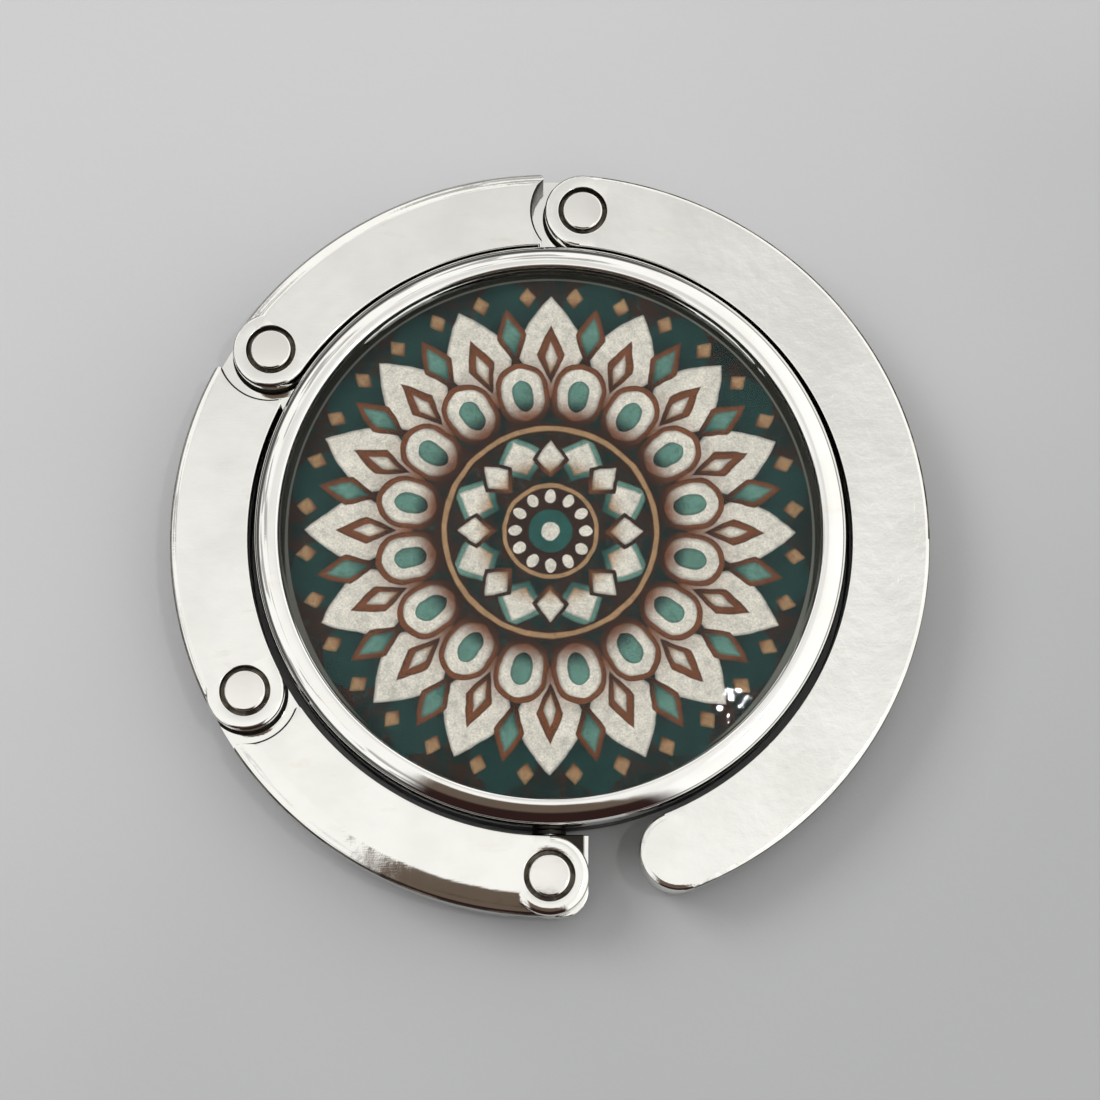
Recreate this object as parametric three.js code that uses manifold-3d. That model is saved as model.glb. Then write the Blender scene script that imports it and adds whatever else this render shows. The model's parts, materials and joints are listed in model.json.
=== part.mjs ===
// A folding purse hook: a glazed disc that lies on the table, with a riveted arm folded round it.
// Millimetres, +Z up. The origin is the centre of the rubber pad's underside.

import * as THREE from "three";
import { mergeVertices } from "three/addons/utils/BufferGeometryUtils.js";
import Module from "manifold-3d";

const wasm = await Module();
wasm.setup();

// Disc: one casting with a raised rim
const discRadius = 17.6;
const rimWidth = 1.55;
const rimFlankWidth = 0.3;
const rimFlankHeight = 0.9;
const rimCrownHeight = 0.55;
const rimGrooveDepth = 0.05;
const rimLipDrop = 0.25;
const discFootRounding = 0.35;
const recessDepth = 1.8;
const webThickness = 0.45;

// Print and glass
const printThickness = 0.25;
const printClearance = 0.1;
const glassClearance = 0.05;
const glassBedding = 0.03;
const glassSideHeight = 1.2;
const glassEdgeRounding = 0.5;
const glassRise = 1.15;

// Rubber pad and the film that holds it
const padBorder = 3.4;
const padThickness = 1.1;
const padSeatDepth = 0.4;
const padEdgeRounding = 0.3;
const padClearance = 0.1;
const tapeThickness = 0.1;
const tapeSetback = 0.4;

// Arm: links and hook share one section, and lie round the disc, a little towards the lug
const armGap = 0.3;
const armDrop = 0.2;
const armLift = 0.3;
const linkWidth = 4.6;
const linkThickness = 3;
const outerBevelWidth = 0.6;
const outerBevelDepth = 0.3;
const edgeRounding = 0.12;
const eyeRounding = 0.12;

// Half-lapped hinges
const lapGap = 0.1;
const shoulderGap = 0.65;
const shoulderFlare = 0.26;
const tongueInset = 0.2;
const hingeCount = 4;
const linkAngle = 61.8;
const hookTipAngle = -68.3;
const tongueReachAngle = 15;

// Rivets
const shankRadius = 0.85;
const shankClearance = 0.04;
const headOverhang = 0.37;
const headRounding = 0.14;
const headProud = 0.08;
const sinkGap = 0.26;
const sinkDepth = 0.75;
const headBedding = 0.03;
const backHeadOverhang = 0.5;
const backHeadDepth = 0.5;
const backHeadFlush = 0.04;

// Swivel lug, pin and washer
const lugGap = 0.3;
const lugCutSide = 1.05;
const lugCornerRadius = 1.6;
const lugNeckLength = 0.35;
const lugWall = 0.45;
const swivelShankRadius = 0.45;
const swivelClearance = 0.05;
const swivelHeadOverhang = 0.17;
const swivelHeadThickness = 0.5;
const pocketSetback = 0.2;
const pocketClearance = 0.1;
const pocketSideClearance = 0.45;
const pocketEndClearance = 1.05;
const washerOverhang = 0.55;
const washerClearance = 0.06;

// Cutters run past the faces that they cut by this much
const overrun = 1;
const mergeTolerance = 0.00001;

// Fineness of the round shapes, in steps for a full turn
const discSteps = 72;
const armSteps = 96;
const hingeSteps = 32;
const rivetSteps = 20;
const roundingSteps = 2;
const crownSteps = 4;
const domeSteps = 6;

const fullTurn = 360;
const quarterTurn = 90;

// Heights, from the table up
const tapeTop = padThickness + tapeThickness;
const discUnderside = tapeTop - padSeatDepth;
const armUnderside = discUnderside + armLift;
const armTop = armUnderside + linkThickness;
const armMiddle = armUnderside + linkThickness / 2;
const eyeUnderside = armMiddle + lapGap / 2;
const tongueTop = armMiddle - lapGap / 2;
const swivelHeight = (armUnderside + tongueTop) / 2;
const swivelHeadRadius = swivelShankRadius + swivelHeadOverhang;
const pocketTop = swivelHeight + swivelHeadRadius + pocketClearance;
const recessFloor = pocketTop + webThickness;
const discTop = recessFloor + recessDepth;

// Radii and places in plan
const recessRadius = discRadius - rimWidth;
const padRadius = discRadius - padBorder;
const pocketFar = padRadius - pocketSetback;
const armInnerRadius = discRadius + armGap;
const armOuterRadius = armInnerRadius + linkWidth;
const hingeCircleRadius = armInnerRadius + linkWidth / 2;
const armCentre = new THREE.Vector2(0, -armDrop);
const eyeRadius = linkWidth / 2;
const shoulderRadius = eyeRadius + shoulderGap;
const tongueRadius = eyeRadius - tongueInset;
const headRadius = shankRadius + headOverhang;
const sinkRadius = headRadius + sinkGap;
const backHeadRadius = shankRadius + backHeadOverhang;
const lugFace = discRadius + lugGap;
const swivelPinEnd = armDrop + hingeCircleRadius - shankRadius - lugWall;

// The hinges, clockwise from the lug
const hingeAngles = Array.from({ length: hingeCount }, (_, index) => -quarterTurn - index * linkAngle);

// Surfaces
const plate = { color: 0xdcd9d2, roughness: 0.12, metalness: 1 };
const surfaces = {
  plate,
  rivet: { ...plate, color: 0xd3cfc6 },
  glass: { color: 0xe6eeea, roughness: 0.04, metalness: 0, transparent: true, opacity: 0.35 },
  print: { color: 0x8f8f7a, roughness: 0.6, metalness: 0 },
  rubber: { color: 0x1d1d1e, roughness: 0.85, metalness: 0 },
  tape: { color: 0xd8d4c6, roughness: 0.7, metalness: 0 },
};

// A closed geometry becomes a solid that can be cut and joined.
function solidOf(geometry) {
  const bare = geometry.clone();
  bare.deleteAttribute("normal");
  bare.deleteAttribute("uv");
  const merged = mergeVertices(bare, mergeTolerance);
  const corners = merged.index.array;
  const kept = [];
  for (let first = 0; first < corners.length; first += 3) {
    const [a, b, c] = corners.slice(first, first + 3);
    if (a !== b && b !== c && c !== a) kept.push(a, b, c);
  }
  const mesh = new wasm.Mesh({
    numProp: 3,
    vertProperties: merged.attributes.position.array,
    triVerts: new Uint32Array(kept),
  });
  return new wasm.Manifold(mesh);
}

function geometryOf(solid) {
  const mesh = solid.getMesh();
  const geometry = new THREE.BufferGeometry();
  geometry.setAttribute("position", new THREE.BufferAttribute(mesh.vertProperties, mesh.numProp));
  geometry.setIndex(new THREE.BufferAttribute(mesh.triVerts, 1));
  return geometry;
}

// A profile of [radius, height] pairs, turned round the Z axis at a place in plan.
function turned(profile, steps, place = new THREE.Vector2()) {
  const points = profile.map(([radius, height]) => new THREE.Vector2(radius, height));
  const geometry = new THREE.LatheGeometry(points, steps);
  geometry.rotateX(THREE.MathUtils.degToRad(quarterTurn));
  geometry.translate(place.x, place.y, 0);
  return solidOf(geometry);
}

function cylinder(radius, bottom, top, steps, place) {
  return turned([[0, bottom], [radius, bottom], [radius, top], [0, top]], steps, place);
}

function extruded(shape, bottom, top) {
  const geometry = new THREE.ExtrudeGeometry(shape, {
    depth: top - bottom,
    bevelEnabled: false,
    curveSegments: hingeSteps / 2,
  });
  geometry.translate(0, 0, bottom);
  return solidOf(geometry);
}

// A profile's corner, rounded by a quarter ellipse inside [radius, height]. The quarters are
// outerTop, innerTop, innerFoot and outerFoot, each taken the same way round as the last.
const quarters = ["outerTop", "innerTop", "innerFoot", "outerFoot"];

function corner(quarter, radius, height, width, rise = width, steps = roundingSteps) {
  const start = quarters.indexOf(quarter) * quarterTurn;
  const inward = quarter.startsWith("outer") ? -width : width;
  const downward = quarter.endsWith("Top") ? -rise : rise;
  return Array.from({ length: steps + 1 }, (_, index) => {
    const angle = THREE.MathUtils.degToRad(start + (quarterTurn * index) / steps);
    return [radius + inward + width * Math.cos(angle), height + downward + rise * Math.sin(angle)];
  });
}

// A cylinder along Y, from one distance in front of the disc's centre to another.
function swivelCylinder(radius, near, far) {
  const length = far - near;
  const geometry = new THREE.CylinderGeometry(radius, radius, length, rivetSteps);
  geometry.translate(0, -(near + length / 2), swivelHeight);
  return solidOf(geometry);
}

function planPlace(angle, radius) {
  const turn = THREE.MathUtils.degToRad(angle);
  return new THREE.Vector2(radius * Math.cos(turn), radius * Math.sin(turn)).add(armCentre);
}

// The disc

function discBody() {
  const rimOuterRadius = discRadius - rimFlankWidth;
  const crownHalf = (rimOuterRadius - recessRadius) / 2;
  const flankTop = discTop - rimCrownHeight - rimGrooveDepth;
  const flankFoot = flankTop - rimFlankHeight;
  const flank = corner("outerTop", discRadius, flankTop, rimFlankWidth, flankTop - flankFoot);
  const profile = [
    [0, tapeTop],
    [padRadius + padClearance, tapeTop],
    [padRadius + padClearance, discUnderside],
    ...corner("outerFoot", discRadius, discUnderside, discFootRounding),
    ...flank,
    [rimOuterRadius - rimGrooveDepth, flankTop],
    ...corner("outerTop", rimOuterRadius, discTop, crownHalf, rimCrownHeight, crownSteps),
    ...corner("innerTop", recessRadius, discTop, crownHalf, rimLipDrop).slice(1),
    [recessRadius, recessFloor],
    [0, recessFloor],
  ];
  const pocketHalfWidth = swivelHeadRadius + pocketSideClearance;
  const pocketLength = swivelHeadThickness + swivelClearance + pocketEndClearance;
  const pocket = new THREE.Shape();
  pocket.moveTo(-pocketHalfWidth, -pocketFar);
  pocket.lineTo(pocketHalfWidth, -pocketFar);
  pocket.lineTo(pocketHalfWidth, pocketLength - pocketFar);
  pocket.lineTo(-pocketHalfWidth, pocketLength - pocketFar);
  pocket.closePath();
  const boreStart = pocketFar - pocketLength / 2;
  return turned(profile, discSteps)
    .subtract(extruded(pocket, discUnderside, pocketTop))
    .subtract(swivelCylinder(swivelShankRadius + swivelClearance, boreStart, discRadius + overrun));
}

function printDisc() {
  return cylinder(recessRadius - printClearance, recessFloor, recessFloor + printThickness, discSteps);
}

function glassLens() {
  const radius = recessRadius - glassClearance;
  const base = recessFloor + printThickness + glassBedding;
  const domeFoot = base + glassSideHeight + glassEdgeRounding;
  const domeEdge = radius - glassEdgeRounding;
  const domeRadius = (domeEdge * domeEdge + glassRise * glassRise) / (2 * glassRise);
  const domeCentre = domeFoot + glassRise - domeRadius;
  const dome = Array.from({ length: domeSteps }, (_, index) => {
    const reach = domeEdge * (1 - (index + 1) / domeSteps);
    return [reach, domeCentre + Math.sqrt(domeRadius * domeRadius - reach * reach)];
  });
  const edge = corner("outerTop", radius, domeFoot, glassEdgeRounding);
  return turned([[0, base], [radius, base], ...edge, ...dome], discSteps);
}

function rubberPad() {
  const foot = corner("outerFoot", padRadius, 0, padEdgeRounding);
  return turned([[0, 0], ...foot, [padRadius, padThickness], [0, padThickness]], discSteps);
}

function padTape() {
  return cylinder(padRadius - tapeSetback, padThickness, tapeTop, discSteps);
}

// The arm

// The section of links and hook, turned into a whole ring: bevelled outside, rounded inside.
function armRing() {
  const profile = [
    ...corner("outerFoot", armOuterRadius, armUnderside, outerBevelWidth, outerBevelDepth),
    ...corner("outerTop", armOuterRadius, armTop, outerBevelWidth, outerBevelDepth),
    ...corner("innerTop", armInnerRadius, armTop, edgeRounding),
    ...corner("innerFoot", armInnerRadius, armUnderside, edgeRounding),
  ];
  return turned([...profile, profile[0]], armSteps, armCentre);
}

// A narrower ring in the lower half, from which the tongues are cut.
function tongueRing() {
  const inner = armInnerRadius + tongueInset;
  const outer = armOuterRadius - tongueInset;
  const profile = [[inner, armUnderside], [outer, armUnderside], [outer, tongueTop], [inner, tongueTop]];
  return turned([...profile, profile[0]], armSteps, armCentre);
}

// The part of a ring that lies between two angles.
function sector(ring, fromAngle, toAngle) {
  const shape = new THREE.Shape();
  const reach = armOuterRadius + linkWidth;
  const steps = Math.ceil((toAngle - fromAngle) / (quarterTurn / 2));
  shape.moveTo(armCentre.x, armCentre.y);
  for (let index = 0; index <= steps; index += 1) {
    const place = planPlace(fromAngle + ((toAngle - fromAngle) * index) / steps, reach);
    shape.lineTo(place.x, place.y);
  }
  return ring.intersect(extruded(shape, armUnderside - overrun, armTop + overrun));
}

// The round clearance at a hinge, flared where it opens through the arm's faces.
function shoulderCutter(place, bottom, top) {
  const wide = shoulderRadius + shoulderFlare;
  const foot = corner("innerFoot", shoulderRadius, armUnderside, shoulderFlare).reverse();
  const head = corner("innerTop", shoulderRadius, armTop, shoulderFlare).reverse();
  const opensBelow = bottom < armUnderside;
  const opensAbove = top > armTop;
  const profile = [
    [0, bottom],
    ...(opensBelow ? [[wide, bottom], ...foot] : [[shoulderRadius, bottom]]),
    ...(opensAbove ? [...head, [wide, top]] : [[shoulderRadius, top]]),
    [0, top],
  ];
  return turned(profile, hingeSteps, place);
}

function eye(place) {
  const rim = corner("outerTop", eyeRadius, armTop, eyeRounding);
  return turned([[0, eyeUnderside], [eyeRadius, eyeUnderside], ...rim, [0, armTop]], hingeSteps, place);
}

// The rivet's running bore and the sunk seat of its head, in an eye.
function eyeBore(place) {
  const bore = shankRadius + shankClearance;
  const seat = armTop - sinkDepth;
  const profile = [
    [0, eyeUnderside - overrun], [bore, eyeUnderside - overrun], [bore, seat],
    [sinkRadius, seat], [sinkRadius, armTop + overrun], [0, armTop + overrun],
  ];
  return turned(profile, rivetSteps, place);
}

// The rivet's bore and the countersink of its back head, in a tongue.
function tongueBore(place) {
  const bore = shankRadius + shankClearance;
  const sink = backHeadRadius + shankClearance;
  const sinkTop = armUnderside + backHeadDepth;
  const profile = [
    [0, armUnderside - overrun], [sink, armUnderside - overrun], [sink, armUnderside],
    [bore, sinkTop + shankClearance], [bore, tongueTop + overrun], [0, tongueTop + overrun],
  ];
  return turned(profile, rivetSteps, place);
}

const wholeRing = armRing();
const wholeTongueRing = tongueRing();

// A link runs clockwise from the hinge of its eye to the hinge of its tongue.
function link(eyeAngle) {
  const tongueAngle = eyeAngle - linkAngle;
  const eyePlace = planPlace(eyeAngle, hingeCircleRadius);
  const tonguePlace = planPlace(tongueAngle, hingeCircleRadius);
  const tongueNeck = sector(wholeTongueRing, tongueAngle, tongueAngle + tongueReachAngle);
  const tongueEnd = cylinder(tongueRadius, armUnderside, tongueTop, hingeSteps, tonguePlace);
  return sector(wholeRing, tongueAngle, eyeAngle)
    .subtract(shoulderCutter(eyePlace, armUnderside - overrun, eyeUnderside))
    .subtract(shoulderCutter(tonguePlace, armUnderside - overrun, armTop + overrun))
    .add(eye(eyePlace))
    .add(tongueNeck)
    .add(tongueEnd)
    .subtract(eyeBore(eyePlace))
    .subtract(tongueBore(tonguePlace));
}

// The hook turns on the last rivet and ends in a plain round tip.
function hookArm(eyeAngle) {
  const eyePlace = planPlace(eyeAngle, hingeCircleRadius);
  const tipPlace = planPlace(hookTipAngle, hingeCircleRadius);
  const tipProfile = [
    [0, armUnderside],
    ...corner("outerFoot", eyeRadius, armUnderside, edgeRounding),
    ...corner("outerTop", eyeRadius, armTop, edgeRounding),
    [0, armTop],
  ];
  return sector(wholeRing, hookTipAngle, eyeAngle)
    .subtract(shoulderCutter(eyePlace, armUnderside - overrun, eyeUnderside))
    .add(eye(eyePlace))
    .add(turned(tipProfile, hingeSteps, tipPlace))
    .subtract(eyeBore(eyePlace));
}

// A rivet: a flat head sunk in the eye, a shank, and a cone spun into the tongue.
function rivet(place) {
  const seat = armTop - sinkDepth + headBedding;
  const headTop = armTop + headProud;
  const backFace = armUnderside + backHeadFlush;
  const coneTop = armUnderside + backHeadDepth;
  const profile = [
    [0, backFace], [backHeadRadius - backHeadFlush, backFace], [shankRadius, coneTop],
    [shankRadius, seat], [headRadius, seat],
    ...corner("outerTop", headRadius, headTop, headRounding),
    [0, headTop],
  ];
  return turned(profile, rivetSteps, place);
}

// The swivel

// The lug is square on the mouth's side, and cut back where the first link passes it.
function swivelLug() {
  const hinge = planPlace(-quarterTurn, hingeCircleRadius);
  const halfPi = THREE.MathUtils.degToRad(quarterTurn);
  const cutAngle = Math.PI - Math.acos(lugCutSide / eyeRadius);
  const cornerX = hinge.x + eyeRadius - lugCornerRadius;
  const cornerY = hinge.y - eyeRadius + lugCornerRadius;
  const outline = new THREE.Shape();
  outline.moveTo(hinge.x + eyeRadius, -lugFace);
  outline.lineTo(-lugCutSide, -lugFace);
  outline.lineTo(-lugCutSide, -lugFace - lugNeckLength);
  outline.absarc(hinge.x, hinge.y, eyeRadius, cutAngle, 3 * halfPi, false);
  outline.absarc(cornerX, cornerY, lugCornerRadius, 3 * halfPi, 4 * halfPi, false);
  outline.closePath();
  return extruded(outline, armUnderside, tongueTop)
    .subtract(swivelCylinder(swivelShankRadius + swivelClearance, lugFace - overrun, swivelPinEnd))
    .subtract(tongueBore(hinge));
}

function swivelPin() {
  const headFar = pocketFar - swivelClearance;
  const headNear = headFar - swivelHeadThickness;
  return swivelCylinder(swivelHeadRadius, headNear, headFar)
    .add(swivelCylinder(swivelShankRadius, headNear, swivelPinEnd - swivelClearance));
}

function swivelWasher() {
  const near = discRadius + washerClearance;
  const far = discRadius + lugGap - washerClearance;
  const hole = swivelShankRadius + swivelClearance;
  return swivelCylinder(swivelShankRadius + washerOverhang, near, far)
    .subtract(swivelCylinder(hole, near - overrun, far + overrun));
}

// Assembly

const group = new THREE.Group();

function addPiece(name, solid, surface) {
  const mesh = new THREE.Mesh(geometryOf(solid), new THREE.MeshStandardMaterial(surfaces[surface]));
  mesh.name = name;
  group.add(mesh);
}

addPiece("disc_body", discBody(), "plate");
addPiece("print_disc", printDisc(), "print");
addPiece("glass_lens", glassLens(), "glass");
addPiece("rubber_pad", rubberPad(), "rubber");
addPiece("pad_tape", padTape(), "tape");
addPiece("swivel_lug", swivelLug(), "plate");
addPiece("swivel_pin", swivelPin(), "rivet");
addPiece("swivel_washer", swivelWasher(), "rivet");

const rivetNames = ["rivet_lug", "rivet_1_2", "rivet_2_3", "rivet_hook"];

hingeAngles.forEach((angle, index) => {
  const isLast = index === hingeAngles.length - 1;
  if (isLast) {
    addPiece("hook_arm", hookArm(angle + fullTurn), "plate");
  } else {
    addPiece(`link_${index + 1}`, link(angle), "plate");
  }
  addPiece(rivetNames[index], rivet(planPlace(angle, hingeCircleRadius)), "rivet");
});

export default group;
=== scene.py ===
# The looks of a folding purse hook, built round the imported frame.
# Pieces are modelled in millimetres, and each is brought to metres when it is finished.

import json
import math

import bpy
from mathutils import Matrix, Vector


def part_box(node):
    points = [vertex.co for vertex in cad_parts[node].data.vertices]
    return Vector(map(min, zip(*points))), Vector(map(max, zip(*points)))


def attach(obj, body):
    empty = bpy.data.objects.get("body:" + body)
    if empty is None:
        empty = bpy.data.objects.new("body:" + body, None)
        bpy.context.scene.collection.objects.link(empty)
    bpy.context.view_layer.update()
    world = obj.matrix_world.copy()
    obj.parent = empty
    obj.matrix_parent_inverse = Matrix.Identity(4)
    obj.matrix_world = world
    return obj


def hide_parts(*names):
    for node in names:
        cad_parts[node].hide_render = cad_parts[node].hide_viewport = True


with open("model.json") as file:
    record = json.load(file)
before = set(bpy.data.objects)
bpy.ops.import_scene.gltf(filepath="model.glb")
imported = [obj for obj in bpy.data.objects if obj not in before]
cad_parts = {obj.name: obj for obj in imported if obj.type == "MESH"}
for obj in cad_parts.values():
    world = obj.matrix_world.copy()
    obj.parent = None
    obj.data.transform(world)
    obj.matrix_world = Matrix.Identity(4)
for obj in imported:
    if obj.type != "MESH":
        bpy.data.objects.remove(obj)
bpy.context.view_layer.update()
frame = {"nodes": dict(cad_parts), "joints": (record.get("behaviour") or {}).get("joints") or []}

millimetre = 0.001
fullTurn = 360
beyond = 1  # how far a cutter reaches past what it cuts
slack = 0.01  # how far off a face may lie when it is chosen by its place


def boxOf(node):
    return [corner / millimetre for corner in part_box(node)]


hinges = {joint["name"]: Vector(joint["pos_m"]) / millimetre for joint in frame["joints"]}
print("Frame loaded")


# Shared modelling steps


def clearSelection():
    if bpy.context.object and bpy.context.object.mode != "OBJECT":
        bpy.ops.object.mode_set(mode="OBJECT")
    bpy.ops.object.select_all(action="DESELECT")


def choose(piece):
    clearSelection()
    piece.select_set(True)
    bpy.context.view_layer.objects.active = piece


def editAll(piece):
    choose(piece)
    bpy.ops.object.mode_set(mode="EDIT")
    bpy.ops.mesh.select_all(action="SELECT")


def cleanMesh(piece, distance=0.0001):
    editAll(piece)
    bpy.ops.mesh.remove_doubles(threshold=distance)
    bpy.ops.mesh.normals_make_consistent(inside=False)
    bpy.ops.object.mode_set(mode="OBJECT")
    return piece


def drawOutline(name, points, closed=False):
    # A plane shrunk to its centre gives the first point, and the rest are drawn out from it.
    clearSelection()
    bpy.ops.mesh.primitive_plane_add(size=1, location=points[0])
    piece = bpy.context.object
    piece.name = name
    bpy.ops.object.transform_apply(location=True, rotation=True, scale=True)
    editAll(piece)
    bpy.ops.mesh.merge(type="CENTER")
    for before, after in zip(points, points[1:]):
        step = [b - a for a, b in zip(before, after)]
        bpy.ops.mesh.extrude_region_move(TRANSFORM_OT_translate={"value": step})
    bpy.ops.mesh.select_all(action="SELECT")
    if closed:
        bpy.ops.mesh.edge_face_add()
        bpy.ops.mesh.select_all(action="SELECT")
    return piece


def turned(name, profile, steps, place=(0, 0), sweep=fullTurn, start=0):
    # A profile of radii and heights, spun clockwise from the start angle round an upright line.
    outline = [(radius, 0, height) for radius, height in profile]
    piece = drawOutline(name, outline, closed=sweep < fullTurn)
    turn = math.radians(sweep)
    bpy.ops.mesh.spin(steps=steps, angle=turn, center=(0, 0, 0), axis=(0, 0, 1))
    cleanMesh(piece)
    piece.rotation_euler.z = math.radians(start)
    piece.location = (place[0], place[1], 0)
    choose(piece)
    bpy.ops.object.transform_apply(location=True, rotation=True, scale=True)
    return piece


def raised(name, outline, bottom, top):
    # An outline in plan, filled and drawn up to a height.
    piece = drawOutline(name, [(x, y, bottom) for x, y in outline], closed=True)
    bpy.ops.mesh.extrude_region_move(TRANSFORM_OT_translate={"value": (0, 0, top - bottom)})
    return cleanMesh(piece)


def alongY(name, radius, near, far, height, steps=48):
    # A round bar or bore in front of the disc's centre, lying along the swivel.
    clearSelection()
    middle = (0, -(near + far) / 2, height)
    lying = (math.radians(90), 0, 0)
    bpy.ops.mesh.primitive_cylinder_add(
        vertices=steps, radius=radius, depth=far - near, location=middle, rotation=lying
    )
    piece = bpy.context.object
    piece.name = name
    bpy.ops.object.transform_apply(location=True, rotation=True, scale=True)
    return piece


def corner(quarter, radius, height, width, rise=None, steps=6):
    # A profile's corner, rounded by a quarter ellipse that lies inside radius and height.
    rise = width if rise is None else rise
    turn = ["outerTop", "innerTop", "innerFoot", "outerFoot"].index(quarter)
    middle = radius - width if quarter.startswith("outer") else radius + width
    level = height - rise if quarter.endswith("Top") else height + rise
    angles = [math.radians(90 * (turn + step / steps)) for step in range(steps + 1)]
    return [(middle + width * math.cos(a), level + rise * math.sin(a)) for a in angles]


def arcPoints(middle, radius, fromAngle, toAngle, steps=24):
    angles = [math.radians(fromAngle + (toAngle - fromAngle) * step / steps) for step in range(steps + 1)]
    return [(middle[0] + radius * math.cos(a), middle[1] + radius * math.sin(a)) for a in angles]


def combine(piece, other, operation):
    choose(piece)
    modifier = piece.modifiers.new(operation.title(), "BOOLEAN")
    modifier.operation = operation
    modifier.solver = "MANIFOLD"
    modifier.object = other
    bpy.ops.object.modifier_apply(modifier=modifier.name)
    bpy.data.objects.remove(other, do_unlink=True)
    return piece


def cut(piece, *cutters):
    for cutter in cutters:
        combine(piece, cutter, "DIFFERENCE")
    return piece


def join(piece, *others):
    for other in others:
        combine(piece, other, "UNION")
    return piece


def finish(piece, node, body, material, sharpAngle=30):
    # Smooth shading that keeps flat faces flat, metres, and the place kept in the mesh.
    cleanMesh(piece, 0.0005)
    piece.scale = (millimetre, millimetre, millimetre)
    choose(piece)
    bpy.ops.object.transform_apply(location=True, rotation=True, scale=True)
    bpy.ops.object.shade_smooth_by_angle(angle=math.radians(sharpAngle))
    modifier = piece.modifiers.new("Flat faces", "WEIGHTED_NORMAL")
    modifier.keep_sharp = True
    bpy.ops.object.modifier_apply(modifier=modifier.name)
    piece.data.materials.clear()
    piece.data.materials.append(material)
    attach(piece, body)
    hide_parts(node)
    return piece


# Shared material steps


def newMaterial(name):
    material = bpy.data.materials.new(name)
    material.use_nodes = True
    return material, material.node_tree, material.node_tree.nodes["Principled BSDF"].inputs


def feed(tree, source, target):
    # Either a socket or a plain value goes into a node's input.
    if isinstance(source, bpy.types.NodeSocket):
        tree.links.new(source, target)
    else:
        target.default_value = source


def maths(tree, operation, *values, clamp=False):
    node = tree.nodes.new("ShaderNodeMath")
    node.operation = operation
    node.use_clamp = clamp
    for value, socket in zip(values, node.inputs):
        feed(tree, value, socket)
    return node.outputs[0]


def ramp(tree, value, low, high, start=0.0, end=1.0):
    # Goes smoothly from start to end while the value goes from low to high.
    node = tree.nodes.new("ShaderNodeMapRange")
    node.interpolation_type = "SMOOTHSTEP"
    for name, source in (("From Min", low), ("From Max", high), ("To Min", start), ("To Max", end)):
        feed(tree, source, node.inputs[name])
    feed(tree, value, node.inputs["Value"])
    return node.outputs[0]


def mixColour(tree, share, first, second, blending="MIX"):
    node = tree.nodes.new("ShaderNodeMix")
    node.data_type = "RGBA"
    node.blend_type = blending
    sockets = {socket.identifier: socket for socket in node.inputs}
    feed(tree, share, sockets["Factor_Float"])
    feed(tree, first, sockets["A_Color"])
    feed(tree, second, sockets["B_Color"])
    return [socket for socket in node.outputs if socket.identifier == "Result_Color"][0]


def noise(tree, vector, scale, detail=3.0, roughness=0.5):
    node = tree.nodes.new("ShaderNodeTexNoise")
    node.inputs["Scale"].default_value = scale
    node.inputs["Detail"].default_value = detail
    node.inputs["Roughness"].default_value = roughness
    feed(tree, vector, node.inputs["Vector"])
    return node.outputs["Fac"]


def mapping(tree, vector, turn=0.0, stretch=(1, 1, 1), shift=(0, 0, 0)):
    node = tree.nodes.new("ShaderNodeMapping")
    node.inputs["Location"].default_value = shift
    node.inputs["Rotation"].default_value[2] = math.radians(turn)
    node.inputs["Scale"].default_value = stretch
    feed(tree, vector, node.inputs["Vector"])
    return node.outputs["Vector"]


def splitVector(tree, vector):
    node = tree.nodes.new("ShaderNodeSeparateXYZ")
    feed(tree, vector, node.inputs[0])
    return node.outputs


def lengthOf(tree, vector):
    node = tree.nodes.new("ShaderNodeVectorMath")
    node.operation = "LENGTH"
    feed(tree, vector, node.inputs[0])
    return node.outputs["Value"]


def inMillimetres(tree):
    place = tree.nodes.new("ShaderNodeTexCoord")
    return mapping(tree, place.outputs["Object"], stretch=[1 / millimetre] * 3)


def bump(tree, height, distance, strength=1.0):
    node = tree.nodes.new("ShaderNodeBump")
    node.inputs["Distance"].default_value = distance * millimetre
    node.inputs["Strength"].default_value = strength
    feed(tree, height, node.inputs["Height"])
    return node.outputs["Normal"]


def newGroup(name, inputs, outputs):
    group = bpy.data.node_groups.new(name, "ShaderNodeTree")
    for label in inputs:
        kind = "NodeSocketVector" if label == "Vector" else "NodeSocketFloat"
        group.interface.new_socket(label, in_out="INPUT", socket_type=kind)
    for label in outputs:
        group.interface.new_socket(label, in_out="OUTPUT", socket_type="NodeSocketFloat")
    source = group.nodes.new("NodeGroupInput").outputs
    target = group.nodes.new("NodeGroupOutput").inputs
    return group, source, target


def placeGroup(tree, group, values):
    node = tree.nodes.new("ShaderNodeGroup")
    node.node_tree = group
    for label, value in values.items():
        feed(tree, value, node.inputs[label])
    return node.outputs


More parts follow.
